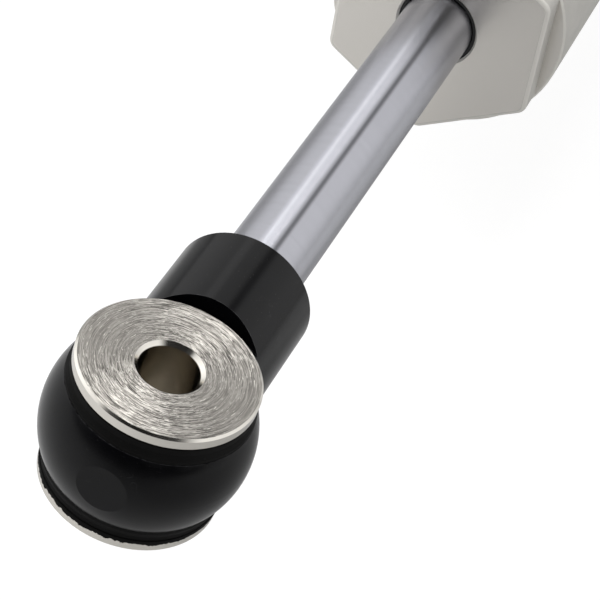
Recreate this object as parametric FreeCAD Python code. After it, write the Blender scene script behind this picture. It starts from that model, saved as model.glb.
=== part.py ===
import FreeCAD, Part
import math
import os

# A gas-charged single-tube shock absorber, lying along Y.
# The origin is the centre of the body eye's bolt hole. +Z runs along that hole,
# and -Y points along the shock towards the rod eye. It is drawn at full extension.
# All sizes are in millimetres.

# Fits and edges
running_clearance = 0.05
loose_clearance = 0.3
seat_clearance = 0.04
edge_break = 0.5
cut_margin = 1.0

# Stroke and rod
rod_diameter = 18.0
stroke = 110.0
closed_gap = 9.05
rod_thread_diameter = 14.0
rod_thread_length = 20.0
rod_socket_depth = 2.0
spigot_diameter = 12.0
spigot_end_length = 2.0

# Eyes, the same at both ends
ball_radius = 21.1
pole_flat_radius = 5.2
collar_radius = 15.0
collar_reach = 45.45
collar_chamfer = 0.4
neck_fillet = 2.5
eye_half_width = 9.7
spotface_radius = 23.4
eye_bore_radius = 14.5
eye_bore_chamfer = 0.6
thread_end_gap = 1.5

# Rubber bushes and flanged spacers, the same at both ends
bolt_hole_diameter = 12.2
bolt_hole_chamfer = 0.8
spacer_tube_radius = 9.5
spacer_flange_radius = 18.2
spacer_flange_thickness = 2.8
spacer_rim_chamfer = 0.45
bush_length = 32.0
rubber_flange_radius = 18.0

# Body tube with its hexagonal end
tube_diameter = 60.5
tube_wall = 5.25
hex_flat_depth = 4.0
hex_length = 8.0
hex_corner_radius = 3.0
hex_face_round = 1.4
hex_turn = 9.27
end_wall = 12.0

# Wiper in the end wall
wiper_hole_clearance = 1.0
wiper_face_land = 1.6
wiper_width = 5.0
wiper_groove_radius = 13.0
wiper_lip_recess = 0.6
wiper_lip_length = 1.4

# Rod guide, its bush and seal, its O-rings and retaining ring
guide_length = 30.0
guide_bush_wall = 1.0
guide_bush_setback = 1.0
guide_bush_land = 1.0
seal_pocket_radius = 14.0
backing_ring_width = 1.5
rod_seal_width = 6.5
seal_retainer_width = 3.0
rod_seal_lip_gap = 1.6
rod_seal_lip_depth = 3.2
o_ring_section = 2.6
o_ring_squeeze = 0.3
o_ring_groove_extra = 0.6
guide_o_ring_spacing = 14.0
retaining_ring_width = 2.0
retaining_ring_depth = 1.5
retaining_ring_reach = 2.0
retaining_ring_gap = 12.0

# Piston, valves and rebound stop
bumper_length = 8.0
bumper_chamfer = 2.0
bumper_wall = 6.5
stop_washer_thickness = 4.0
stop_washer_wall = 8.0
piston_length = 18.0
piston_face_recess = 1.2
piston_rim_width = 2.2
piston_channel_width = 3.9
seat_ring_width = 1.8
hub_radius = 9.5
port_count = 5
port_radius = 2.4
band_width = 10.0
band_thickness = 2.0
band_split = 1.0
shim_thickness = 0.4
shim_count = 4
shim_inset = 0.8
smallest_shim_radius = 10.5
backing_washer_radius = 9.8
backing_washer_thickness = 2.0
piston_nut_flats = 19.0
piston_nut_height = 10.0

# Floating piston and its seal
floating_piston_gap = 7.0
floating_piston_length = 17.0
floating_piston_wall = 4.0
floating_piston_floor = 6.0
floating_band_width = 5.0
floating_band_offset = 2.5
floating_seal_offset = 12.5
gas_chamber_length = 43.4
bleed_screw_radius = 3.0
bleed_screw_head_radius = 4.6
bleed_screw_head_height = 2.4
bleed_socket_flats = 3.0

# End cap with the body eye, and the gas fill screw
cap_neck_length = 36.0
cap_flange_thickness = 16.0
cap_spigot_length = 20.0
cap_neck_fillet = 8.0
cap_o_ring_offset = 4.5
cap_thread_relief_width = 3.0
cap_thread_relief_depth = 1.2
cap_spigot_wall = 11.0
cap_hollow_depth = 12.0
fill_screw_radius = 4.0
fill_screw_length = 11.0
fill_head_radius = 6.0
fill_head_height = 3.2
fill_socket_flats = 4.0
fill_passage_radius = 1.2
fill_ring_section = 1.2
spanner_hole_count = 4
spanner_hole_radius = 2.5
spanner_hole_depth = 5.0

# Radii that follow from the sizes above
rod_radius = rod_diameter / 2
tube_radius = tube_diameter / 2
bore_radius = tube_radius - tube_wall
hex_across_flats = tube_diameter - 2 * hex_flat_depth
spigot_radius = spigot_diameter / 2
thread_radius = rod_thread_diameter / 2
bolt_hole_radius = bolt_hole_diameter / 2
face_hole_radius = rod_radius + wiper_hole_clearance
bumper_radius = rod_radius + bumper_wall
stop_washer_radius = rod_radius + stop_washer_wall
piston_radius = bore_radius - loose_clearance
piston_rim_inner = piston_radius - piston_rim_width
seat_ring_radius = piston_rim_inner - piston_channel_width
seat_ring_inner = seat_ring_radius - seat_ring_width
largest_shim_radius = seat_ring_radius - shim_inset
port_inner_pitch_radius = (hub_radius + seat_ring_inner) / 2
port_outer_pitch_radius = (seat_ring_radius + piston_rim_inner) / 2

# Lengths that follow from the pieces stacked inside the tube
seal_pocket_depth = backing_ring_width + rod_seal_width + seal_retainer_width
guide_bush_length = guide_length - seal_pocket_depth - guide_bush_setback - guide_bush_land
shim_stack = shim_count * shim_thickness
displacement_ratio = (rod_radius / bore_radius) ** 2
floating_travel = stroke * displacement_ratio
exposed_rod = stroke + closed_gap
head_stack = end_wall + guide_length + loose_clearance + bumper_length + stop_washer_thickness
valve_stack = piston_length + 2 * shim_stack + 2 * backing_washer_thickness
piston_stack = valve_stack + piston_nut_height + spigot_end_length
gas_end_stack = floating_piston_gap + floating_piston_length + gas_chamber_length
moving_space = stroke - floating_travel
tube_length = head_stack + piston_stack + moving_space + gas_end_stack + cap_spigot_length

# Places along the shock axis, from the body eye at zero towards the rod eye
cap_flange_rear = -cap_neck_length
cap_flange_front = cap_flange_rear - cap_flange_thickness
cap_spigot_front = cap_flange_front - cap_spigot_length
hex_face = cap_flange_front - tube_length
hex_shoulder = hex_face + hex_length
guide_front = hex_face + end_wall
guide_rear = guide_front + guide_length
retaining_ring_rear = guide_rear + retaining_ring_width
bumper_front = guide_rear + loose_clearance
rod_shoulder = bumper_front + bumper_length
backing_front = rod_shoulder + stop_washer_thickness
shims_front = backing_front + backing_washer_thickness
piston_front = shims_front + shim_stack
piston_rear = piston_front + piston_length
rear_shims_end = piston_rear + shim_stack
nut_front = rear_shims_end + backing_washer_thickness
nut_rear = nut_front + piston_nut_height
spigot_end = nut_rear + spigot_end_length
floating_front = spigot_end + moving_space + floating_piston_gap
floating_rear = floating_front + floating_piston_length
collar_end = hex_face - exposed_rod
rod_eye_centre = collar_end - collar_reach

# Heights along the bush
bush_half = bush_length / 2
flange_underside = bush_half - spacer_flange_thickness

X_AXIS = FreeCAD.Vector(1, 0, 0)
Y_AXIS = FreeCAD.Vector(0, 1, 0)
Z_AXIS = FreeCAD.Vector(0, 0, 1)
ORIGIN = FreeCAD.Vector(0, 0, 0)
FULL_TURN = 360.0
HALF_TURN = 180.0
QUARTER_TURN = 90.0
HEX_SIDES = 6

parts = {}


def on_plane(point, axis):
    """Place a (radius, distance along the axis) pair in the plane of a profile."""
    radius, distance = point
    outwards = Y_AXIS if axis == X_AXIS else X_AXIS
    return outwards * radius + axis * distance


def turned(start, steps, axis=Y_AXIS):
    """Revolve a closed profile. A step is a point, or (point on an arc, arc's end)."""
    edges = []
    here = on_plane(start, axis)
    for step in list(steps) + [start]:
        if isinstance(step[0], tuple):
            middle = on_plane(step[0], axis)
            there = on_plane(step[1], axis)
            edges.append(Part.Arc(here, middle, there).toShape())
        else:
            there = on_plane(step, axis)
            edges.append(Part.makeLine(here, there))
        here = there
    face = Part.Face(Part.Wire(edges))
    return face.revolve(ORIGIN, axis, FULL_TURN)


def ring(inner, outer, start, end, edge=0.0):
    """A plain ring, with both of its outer edges broken where an edge size is given."""
    if edge == 0.0:
        return turned((inner, start), [(outer, start), (outer, end), (inner, end)])
    steps = [
        (outer - edge, start),
        (outer, start + edge),
        (outer, end - edge),
        (outer - edge, end),
        (inner, end),
    ]
    return turned((inner, start), steps)


def rod_along(radius, start, end, axis=Y_AXIS):
    """A solid cylinder centred on an axis through the origin."""
    return Part.makeCylinder(radius, end - start, axis * start, axis)


def o_ring(centre_radius, section_radius, middle, axis=Y_AXIS):
    """A seal ring, pressed out of round by its groove, so that its section has six sides."""
    inner = centre_radius - section_radius
    outer = centre_radius + section_radius
    half_contact = section_radius * math.tan(math.pi / HEX_SIDES)
    steps = [
        (outer, middle - half_contact),
        (outer, middle + half_contact),
        (centre_radius, middle + section_radius),
        (inner, middle + half_contact),
        (inner, middle - half_contact),
    ]
    return turned((centre_radius, middle - section_radius), steps, axis)


def hexagon_corner(across_flats):
    """Distance from a hexagon's centre to its corners."""
    return across_flats / 2 / math.cos(math.pi / HEX_SIDES)


def hexagon_points(across_flats, turn):
    """Corners, in the X-Z plane, of a hexagon that has a flat facing the angle turn."""
    corner = hexagon_corner(across_flats)
    points = []
    for side in range(HEX_SIDES):
        angle = math.radians(turn) + (2 * side + 1) * math.pi / HEX_SIDES
        points.append(FreeCAD.Vector(corner * math.cos(angle), 0, corner * math.sin(angle)))
    return points


def hexagon_prism(across_flats, start, end, turn=0.0, corner_radius=0.0):
    """A hexagonal bar along Y, with its long edges rounded where a radius is given."""
    points = hexagon_points(across_flats, turn)
    wire = Part.makePolygon(points + [points[0]])
    prism = Part.Face(wire).extrude(Y_AXIS * (end - start))
    prism.translate(Y_AXIS * start)
    if corner_radius > 0:
        long_edges = []
        for edge in prism.Edges:
            if edge.BoundBox.YLength > (end - start) / 2:
                long_edges.append(edge)
        prism = prism.makeFillet(corner_radius, long_edges)
    return prism


def around_axis(shape, count, start_angle=0.0):
    """Copies of a shape spread evenly round the shock axis."""
    copies = []
    for index in range(count):
        copy = shape.copy()
        copy.rotate(ORIGIN, Y_AXIS, start_angle + index * FULL_TURN / count)
        copies.append(copy)
    return copies


def circle_edges(shape, radius, distance):
    """Circular edges of one radius, centred on the shock axis at one distance along it."""
    found = []
    for edge in shape.Edges:
        curve = edge.Curve
        if not isinstance(curve, Part.Circle):
            continue
        centre_off = (curve.Center - Y_AXIS * distance).Length
        if abs(curve.Radius - radius) < seat_clearance and centre_off < seat_clearance:
            found.append(edge)
    return found


def mirrored_along(shape):
    """The same shape turned half round the bush axis, so that it points the other way."""
    copy = shape.copy()
    copy.rotate(ORIGIN, Z_AXIS, HALF_TURN)
    return copy


# Eyes


def ball_profile_steps(collar_end_steps):
    """Profile of a ball with a small flat at its pole, running into a collar towards +Y."""
    pole = -math.sqrt(ball_radius**2 - pole_flat_radius**2)
    junction = math.sqrt(ball_radius**2 - collar_radius**2)
    return (0, pole), [
        (pole_flat_radius, pole),
        ((ball_radius, 0), (collar_radius, junction)),
    ] + collar_end_steps


def cut_eye_openings(blank):
    """Cut both flat faces, with their round spotfaces, and the bore for the bush."""
    tall = ball_radius + collar_radius
    for start, end in ((eye_half_width, tall), (-tall, -eye_half_width)):
        blank = blank.cut(rod_along(spotface_radius, start, end, Z_AXIS))
    outer = eye_bore_radius + eye_bore_chamfer
    inner_height = eye_half_width - eye_bore_chamfer
    bore = turned(
        (0, -eye_half_width),
        [
            (outer, -eye_half_width),
            (eye_bore_radius, -inner_height),
            (eye_bore_radius, inner_height),
            (outer, eye_half_width),
            (0, eye_half_width),
        ],
        Z_AXIS,
    )
    return blank.cut(bore)


def make_rod_eye():
    """Ball-shaped eye with the collar that the rod screws into."""
    start, steps = ball_profile_steps([
        (collar_radius, collar_reach - collar_chamfer),
        (collar_radius - collar_chamfer, collar_reach),
        (0, collar_reach),
    ])
    blank = turned(start, steps)
    junction = math.sqrt(ball_radius**2 - collar_radius**2)
    blank = blank.makeFillet(neck_fillet, circle_edges(blank, collar_radius, junction))
    socket_floor = collar_reach - rod_socket_depth
    thread_floor = socket_floor - rod_thread_length - thread_end_gap
    socket = rod_along(rod_radius + running_clearance, socket_floor, collar_reach)
    thread_hole = rod_along(thread_radius + running_clearance, thread_floor, collar_reach)
    eye = cut_eye_openings(blank).cut(socket).cut(thread_hole)
    eye.translate(Y_AXIS * rod_eye_centre)
    return eye


def make_rubber(centre):
    """Rubber bush: a thick sleeve in the eye, with a flange at each face under the spacer."""
    inner = spacer_tube_radius + running_clearance
    outer = eye_bore_radius - running_clearance
    low = eye_half_width + running_clearance
    high = flange_underside - running_clearance
    steps = [
        (rubber_flange_radius, -low),
        (outer, -low),
        (outer, low),
        (rubber_flange_radius, low),
        (rubber_flange_radius, high),
        (inner, high),
        (inner, -high),
    ]
    bush = turned((rubber_flange_radius, -high), steps, Z_AXIS)
    bush.translate(Y_AXIS * centre)
    return bush


def make_spacer(centre, side):
    """Flanged steel spacer: half of the inner sleeve and one end washer, turned in one piece."""
    height = bush_half
    steps = [
        (spacer_tube_radius, 0),
        (spacer_tube_radius, flange_underside),
        (spacer_flange_radius - spacer_rim_chamfer, flange_underside),
        (spacer_flange_radius, flange_underside + spacer_rim_chamfer),
        (spacer_flange_radius, height - spacer_rim_chamfer),
        (spacer_flange_radius - spacer_rim_chamfer, height),
        (bolt_hole_radius + bolt_hole_chamfer, height),
        (bolt_hole_radius, height - bolt_hole_chamfer),
    ]
    spacer = turned((bolt_hole_radius, 0), steps, Z_AXIS)
    if side < 0:
        spacer.rotate(ORIGIN, X_AXIS, HALF_TURN)
    spacer.translate(Y_AXIS * centre)
    return spacer


# Body tube, rod guide and seals


def make_body_tube():
    """Tube whose rod end is closed by a wall, with a hexagon for a spanner round it."""
    outer_break = edge_break
    rear = cap_flange_front
    barrel = turned(
        (0, hex_shoulder),
        [
            (tube_radius - outer_break, hex_shoulder),
            (tube_radius, hex_shoulder + outer_break),
            (tube_radius, rear - outer_break),
            (tube_radius - outer_break, rear),
            (0, rear),
        ],
    )
    prism = hexagon_prism(
        hex_across_flats, hex_face, hex_shoulder + end_wall / 2, hex_turn, hex_corner_radius
    )
    front_edges = []
    for edge in prism.Edges:
        if abs(edge.BoundBox.YMin - hex_face) < edge_break and edge.BoundBox.YLength < edge_break:
            front_edges.append(edge)
    prism = prism.makeFillet(hex_face_round, front_edges)
    body = barrel.fuse(prism).removeSplitter()
    groove_front = hex_face + wiper_face_land
    groove_rear = groove_front + wiper_width + seat_clearance
    ring_outer = bore_radius + retaining_ring_depth
    ring_front = guide_rear - seat_clearance
    hollow = turned(
        (0, hex_face),
        [
            (face_hole_radius + edge_break, hex_face),
            (face_hole_radius, hex_face + edge_break),
            (face_hole_radius, groove_front),
            (wiper_groove_radius, groove_front),
            (wiper_groove_radius, groove_rear),
            (face_hole_radius, groove_rear),
            (face_hole_radius, guide_front),
            (bore_radius, guide_front),
            (bore_radius, ring_front),
            (ring_outer, ring_front),
            (ring_outer, retaining_ring_rear + seat_clearance),
            (bore_radius, retaining_ring_rear + seat_clearance),
            (bore_radius, rear - edge_break),
            (bore_radius + edge_break, rear),
            (0, rear),
        ],
    )
    return body.cut(hollow)


def make_wiper():
    """Wiper snapped into the end wall, with a lip that shows round the rod."""
    front = hex_face + wiper_face_land + seat_clearance
    rear = front + wiper_width - seat_clearance
    inner = rod_radius + running_clearance
    lip_front = hex_face + wiper_lip_recess
    lip_outer = face_hole_radius - running_clearance
    steps = [
        (lip_outer, front),
        (wiper_groove_radius - seat_clearance, front),
        (wiper_groove_radius - seat_clearance, rear),
        (inner + wiper_lip_length, rear),
        (inner + wiper_lip_length, front + wiper_lip_length),
        (inner, front + wiper_lip_length / 2),
        (inner, lip_front),
    ]
    return turned((lip_outer, lip_front), steps)


def guide_o_ring_places():
    middle = (guide_front + guide_rear) / 2
    return (middle - guide_o_ring_spacing / 2, middle + guide_o_ring_spacing / 2)


def groove_cutter(outer, middle):
    """Rectangular groove for a round-section ring that seals on the wall at the outer radius."""
    floor = outer - o_ring_section + o_ring_squeeze
    half = (o_ring_section + o_ring_groove_extra) / 2
    return ring(floor, outer + edge_break, middle - half, middle + half)


def sealing_o_ring(wall, middle):
    """Round-section ring lying in its groove, squeezed against the wall it seals on."""
    outer = wall - running_clearance
    floor = wall - running_clearance - o_ring_section + o_ring_squeeze + seat_clearance
    section = (outer - floor) / 2
    return o_ring((outer + floor) / 2, section, middle)


def make_rod_guide():
    """Guide head in the tube, bored for the bush and pocketed for the rod seal."""
    outer = bore_radius - running_clearance
    bush_seat = rod_radius + running_clearance + guide_bush_wall + seat_clearance
    clear_hole = rod_radius + loose_clearance
    bush_front = guide_front + guide_bush_setback
    bush_rear = bush_front + guide_bush_length
    pocket_front = guide_rear - seal_pocket_depth
    steps = [
        (outer - edge_break, guide_front),
        (outer, guide_front + edge_break),
        (outer, guide_rear),
        (seal_pocket_radius, guide_rear),
        (seal_pocket_radius, pocket_front),
        (clear_hole, pocket_front),
        (clear_hole, bush_rear + seat_clearance),
        (bush_seat, bush_rear + seat_clearance),
    ]
    guide = turned((bush_seat, guide_front), steps)
    for middle in guide_o_ring_places():
        guide = guide.cut(groove_cutter(outer, middle))
    return guide


def make_guide_bush():
    """Thin lined bush that the rod slides in."""
    inner = rod_radius + running_clearance
    front = guide_front + guide_bush_setback
    return ring(inner, inner + guide_bush_wall, front, front + guide_bush_length)


def make_backing_ring():
    """Stiff ring behind the rod seal."""
    rear = guide_rear - seal_retainer_width - rod_seal_width
    front = rear - backing_ring_width
    inner = rod_radius + running_clearance
    outer = seal_pocket_radius - running_clearance
    return ring(inner, outer, front + seat_clearance, rear)


def make_rod_seal():
    """Lip seal with its open side towards the oil."""
    rear = guide_rear - seal_retainer_width - seat_clearance
    front = rear - rod_seal_width + 2 * seat_clearance
    inner = rod_radius + running_clearance
    outer = seal_pocket_radius - running_clearance
    middle = (inner + outer) / 2
    lip_inner = middle - rod_seal_lip_gap / 2
    lip_outer = middle + rod_seal_lip_gap / 2
    steps = [
        (outer, front),
        (outer, rear),
        (lip_outer, rear),
        (middle, rear - rod_seal_lip_depth),
        (lip_inner, rear),
        (inner, rear),
    ]
    return turned((inner, front), steps)


def make_seal_retainer():
    """Pressed ring that keeps the rod seal in its pocket."""
    inner = rod_radius + loose_clearance
    outer = seal_pocket_radius - seat_clearance
    front = guide_rear - seal_retainer_width
    return ring(inner, outer, front, guide_rear - edge_break / 2)


def make_retaining_ring():
    """Open snap ring in the tube's groove, holding the guide."""
    outer = bore_radius + retaining_ring_depth - running_clearance
    inner = bore_radius - retaining_ring_reach
    whole = ring(inner, outer, guide_rear + seat_clearance, retaining_ring_rear)
    gap = Part.makeBox(
        retaining_ring_gap,
        2 * retaining_ring_width,
        2 * outer,
        FreeCAD.Vector(-retaining_ring_gap / 2, guide_rear, 0),
    )
    return whole.cut(gap)


# Rod, rebound stop, piston and valves


def make_piston_rod():
    """Rod with a threaded end for the eye and a stepped spigot for the piston."""
    eye_end = collar_end + rod_socket_depth
    thread_end = eye_end - rod_thread_length
    steps = [
        (thread_radius - edge_break, thread_end),
        (thread_radius, thread_end + edge_break),
        (thread_radius, eye_end + seat_clearance),
        (rod_radius - edge_break, eye_end + seat_clearance),
        (rod_radius, eye_end + seat_clearance + edge_break),
        (rod_radius, rod_shoulder - edge_break),
        (rod_radius - edge_break, rod_shoulder),
        (spigot_radius, rod_shoulder),
        (spigot_radius, spigot_end - edge_break),
        (spigot_radius - edge_break, spigot_end),
        (0, spigot_end),
    ]
    return turned((0, thread_end), steps)


def make_rebound_bumper():
    """Rubber ring that meets the guide when the rod is right out."""
    inner = rod_radius + running_clearance
    rear = rod_shoulder - seat_clearance
    steps = [
        (bumper_radius - bumper_chamfer, bumper_front),
        (bumper_radius, bumper_front + bumper_chamfer),
        (bumper_radius, rear),
        (inner, rear),
    ]
    return turned((inner, bumper_front), steps)


def spigot_ring(outer, start, end, edge=0.0):
    """Ring held on the rod's spigot."""
    return ring(spigot_radius + seat_clearance, outer, start, end, edge)


def make_piston():
    """Piston with two sets of slanting ports, a seat ring on each face and a band groove."""
    outer = piston_radius
    rim_inner = piston_rim_inner
    seat_inner = seat_ring_inner
    depth = piston_face_recess
    inner = spigot_radius + seat_clearance
    band_front = (piston_front + piston_rear - band_width) / 2 - running_clearance
    band_rear = band_front + band_width + 2 * running_clearance
    band_floor = bore_radius - running_clearance - band_thickness - running_clearance
    front_steps = [
        (hub_radius, piston_front),
        (hub_radius, piston_front + depth),
        (seat_inner, piston_front + depth),
        (seat_inner, piston_front),
        (seat_ring_radius, piston_front),
        (seat_ring_radius, piston_front + depth),
        (rim_inner, piston_front + depth),
        (outer, piston_front + 2 * depth),
        (outer, band_front),
        (band_floor, band_front),
        (band_floor, band_rear),
        (outer, band_rear),
        (outer, piston_rear - 2 * depth),
        (rim_inner, piston_rear - depth),
        (seat_ring_radius, piston_rear - depth),
        (seat_ring_radius, piston_rear),
        (seat_inner, piston_rear),
        (seat_inner, piston_rear - depth),
        (hub_radius, piston_rear - depth),
        (hub_radius, piston_rear),
        (inner, piston_rear),
    ]
    piston = turned((inner, piston_front), front_steps)
    for front_radius, rear_radius, turn in (
        (port_inner_pitch_radius, port_outer_pitch_radius, 0.0),
        (port_outer_pitch_radius, port_inner_pitch_radius, HALF_TURN / port_count),
    ):
        slant = FreeCAD.Vector(rear_radius - front_radius, piston_length, 0)
        start = FreeCAD.Vector(front_radius, piston_front, 0) - slant
        port = Part.makeCylinder(port_radius, 3 * slant.Length, start, slant)
        for cutter in around_axis(port, port_count, turn):
            piston = piston.cut(cutter)
    return piston


def make_piston_band():
    """Low-friction band that the piston runs on, split for fitting."""
    outer = bore_radius - running_clearance
    front = (piston_front + piston_rear - band_width) / 2 + running_clearance
    band = ring(outer - band_thickness, outer, front, front + band_width - 2 * running_clearance)
    corner = FreeCAD.Vector(-band_split / 2, front - band_width / 2, 0)
    slit = Part.makeBox(band_split, 2 * band_width, 2 * outer, corner)
    return band.cut(slit)


def make_shims(start, towards):
    """Stack of thin valve discs, the largest against the piston."""
    discs = []
    shrink = (largest_shim_radius - smallest_shim_radius) / max(shim_count - 1, 1)
    for index in range(shim_count):
        near = start + towards * index * shim_thickness
        far = near + towards * shim_thickness
        radius = largest_shim_radius - index * shrink
        discs.append(spigot_ring(radius, min(near, far), max(near, far)))
    return Part.makeCompound(discs)


def make_piston_nut():
    """Hexagon nut that clamps the piston and its valves on the spigot."""
    blank = hexagon_prism(piston_nut_flats, nut_front, nut_rear)
    corner = hexagon_corner(piston_nut_flats)
    chamfer = ring(0, corner, nut_front - edge_break, nut_rear, 2 * edge_break)
    hole = rod_along(spigot_radius + seat_clearance, nut_front, nut_rear)
    return blank.common(chamfer).cut(hole)


# Floating piston


def make_floating_piston():
    """Cup-shaped piston between the oil and the gas, hollow on its gas side."""
    outer = piston_radius
    hollow = outer - floating_piston_wall
    floor = floating_front + floating_piston_floor
    steps = [
        (outer - edge_break, floating_front),
        (outer, floating_front + edge_break),
        (outer, floating_rear - edge_break),
        (outer - edge_break, floating_rear),
        (hollow, floating_rear),
        (hollow, floor),
        (0, floor),
    ]
    cup = turned((0, floating_front), steps)
    cup = cup.cut(groove_cutter(outer, floating_front + floating_seal_offset))
    band_front = floating_front + floating_band_offset - running_clearance
    band_floor = bore_radius - 2 * running_clearance - band_thickness
    band_rear = band_front + floating_band_width + 2 * running_clearance
    cup = cup.cut(ring(band_floor, outer + edge_break, band_front, band_rear))
    screw_hole = rod_along(bleed_screw_radius + seat_clearance, floating_front, floor)
    return cup.cut(screw_hole)


def make_floating_band():
    """Guide band of the floating piston."""
    outer = bore_radius - running_clearance
    front = floating_front + floating_band_offset
    return ring(outer - band_thickness, outer, front, front + floating_band_width)


def make_floating_seal():
    """O-ring that keeps the gas from the oil."""
    return sealing_o_ring(bore_radius, floating_front + floating_seal_offset)


def make_bleed_screw():
    """Socket screw that closes the floating piston's bleed hole."""
    floor = floating_front + floating_piston_floor
    head_rear = floor + bleed_screw_head_height
    shank = rod_along(bleed_screw_radius, floating_front + edge_break, floor + seat_clearance)
    head = rod_along(bleed_screw_head_radius, floor + seat_clearance, head_rear)
    socket = hexagon_prism(bleed_socket_flats, floor + bleed_screw_head_height / 2, head_rear)
    return shank.fuse(head).cut(socket).removeSplitter()


# End cap, body eye and gas fill screw


def make_end_cap():
    """Cap screwed into the tube, one piece with the body eye."""
    spigot = bore_radius - running_clearance
    relief = spigot - cap_thread_relief_depth
    relief_front = cap_flange_front - cap_thread_relief_width
    start, steps = ball_profile_steps([
        (collar_radius, cap_neck_length),
        (tube_radius - edge_break, cap_neck_length),
        (tube_radius, cap_neck_length + edge_break),
        (tube_radius, -cap_flange_front - edge_break),
        (tube_radius - edge_break, -cap_flange_front),
        (relief, -cap_flange_front),
        (relief, -relief_front),
        (spigot, -relief_front),
        (spigot, -cap_spigot_front - edge_break),
        (spigot - edge_break, -cap_spigot_front),
        (0, -cap_spigot_front),
    ])
    blank = turned(start, steps)
    junction = math.sqrt(ball_radius**2 - collar_radius**2)
    blank = blank.makeFillet(neck_fillet, circle_edges(blank, collar_radius, junction))
    root = circle_edges(blank, collar_radius, cap_neck_length)
    blank = mirrored_along(blank.makeFillet(cap_neck_fillet, root))
    cap = cut_eye_openings(blank)
    hollow_radius = spigot - cap_spigot_wall
    hollow = rod_along(hollow_radius, cap_spigot_front, cap_spigot_front + cap_hollow_depth)
    cap = cap.cut(hollow)
    cap = cap.cut(groove_cutter(spigot, cap_spigot_front + cap_o_ring_offset))
    return cut_spanner_holes(cut_fill_hole(cap))


def fill_screw_middle():
    return (cap_flange_rear + cap_flange_front) / 2


def cut_fill_hole(cap):
    """Radial hole for the gas fill screw, with a small passage to the gas side."""
    middle = Y_AXIS * fill_screw_middle()
    seat = tube_radius - fill_head_height
    tip = seat - fill_screw_length - thread_end_gap
    head_hole = Part.makeCylinder(
        fill_head_radius + loose_clearance,
        fill_head_height + cut_margin,
        middle + X_AXIS * seat,
        X_AXIS,
    )
    shank_hole = Part.makeCylinder(
        fill_screw_radius + running_clearance, seat - tip, middle + X_AXIS * tip, X_AXIS
    )
    across = tip + fill_passage_radius
    passage_length = fill_screw_middle() - cap_spigot_front
    passage = Part.makeCylinder(
        fill_passage_radius, passage_length, Y_AXIS * cap_spigot_front + X_AXIS * across, Y_AXIS
    )
    return cap.cut(head_hole).cut(shank_hole).cut(passage)


def cut_spanner_holes(cap):
    """Blind holes round the flange for a pin spanner."""
    start = tube_radius - spanner_hole_depth
    hole = Part.makeCylinder(
        spanner_hole_radius,
        spanner_hole_depth + cut_margin,
        Y_AXIS * fill_screw_middle() + X_AXIS * start,
        X_AXIS,
    )
    turn = HALF_TURN / spanner_hole_count
    for cutter in around_axis(hole, spanner_hole_count, turn):
        cap = cap.cut(cutter)
    return cap


def make_fill_screw():
    """Socket screw that closes the gas fill hole."""
    middle = Y_AXIS * fill_screw_middle()
    seat = tube_radius - fill_head_height + fill_ring_section
    top = tube_radius - edge_break
    tip = tube_radius - fill_head_height - fill_screw_length
    head = Part.makeCylinder(fill_head_radius, top - seat, middle + X_AXIS * seat, X_AXIS)
    shank = Part.makeCylinder(fill_screw_radius, seat - tip, middle + X_AXIS * tip, X_AXIS)
    socket = hexagon_prism(fill_socket_flats, 0, top)
    socket.rotate(ORIGIN, Z_AXIS, -QUARTER_TURN)
    socket.translate(middle)
    floor = Part.makeCylinder(fill_head_radius, top, middle - X_AXIS * fill_head_height, X_AXIS)
    return head.fuse(shank).removeSplitter().cut(socket.cut(floor))


def make_fill_seal():
    """Small O-ring under the head of the fill screw."""
    section = fill_ring_section / 2
    height = tube_radius - fill_head_height + section
    radius = fill_screw_radius + running_clearance + section
    seal = o_ring(radius, section - seat_clearance, 0.0, X_AXIS)
    seal.translate(Y_AXIS * fill_screw_middle() + X_AXIS * height)
    return seal


# The whole shock, one piece after another from the rod eye to the body eye

parts["rod_eye"] = make_rod_eye()
for end, centre in (("rod_eye", rod_eye_centre), ("body_eye", 0.0)):
    parts[end + "_rubber"] = make_rubber(centre)
    parts[end + "_spacer_upper"] = make_spacer(centre, 1)
    parts[end + "_spacer_lower"] = make_spacer(centre, -1)
parts["piston_rod"] = make_piston_rod()
parts["body_tube"] = make_body_tube()
parts["rod_wiper"] = make_wiper()
parts["rod_guide"] = make_rod_guide()
parts["rod_guide_bush"] = make_guide_bush()
parts["rod_seal_backing_ring"] = make_backing_ring()
parts["rod_seal"] = make_rod_seal()
parts["rod_seal_retainer"] = make_seal_retainer()
parts["rod_guide_o_rings"] = Part.makeCompound(
    [sealing_o_ring(bore_radius, middle) for middle in guide_o_ring_places()]
)
parts["rod_guide_retaining_ring"] = make_retaining_ring()
parts["rebound_bumper"] = make_rebound_bumper()
parts["rebound_stop_washer"] = spigot_ring(
    stop_washer_radius, rod_shoulder, backing_front, edge_break
)
parts["compression_backing_washer"] = spigot_ring(
    backing_washer_radius, backing_front, shims_front
)
parts["compression_shims"] = make_shims(piston_front, -1)
parts["piston"] = make_piston()
parts["piston_band"] = make_piston_band()
parts["rebound_shims"] = make_shims(piston_rear, 1)
parts["rebound_backing_washer"] = spigot_ring(backing_washer_radius, rear_shims_end, nut_front)
parts["piston_nut"] = make_piston_nut()
parts["floating_piston"] = make_floating_piston()
parts["floating_piston_band"] = make_floating_band()
parts["floating_piston_o_ring"] = make_floating_seal()
parts["floating_piston_bleed_screw"] = make_bleed_screw()
parts["end_cap"] = make_end_cap()
parts["end_cap_o_ring"] = sealing_o_ring(bore_radius, cap_spigot_front + cap_o_ring_offset)
parts["gas_fill_screw"] = make_fill_screw()
parts["gas_fill_seal"] = make_fill_seal()

os.makedirs("parts", exist_ok=True)
for name, shape in parts.items():
    shape.exportStep("parts/" + name + ".step")
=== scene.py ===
import math

import bmesh
import bpy
from bpy.props import FloatProperty, FloatVectorProperty, IntProperty, PointerProperty
from mathutils import Matrix, Vector, noise


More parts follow.
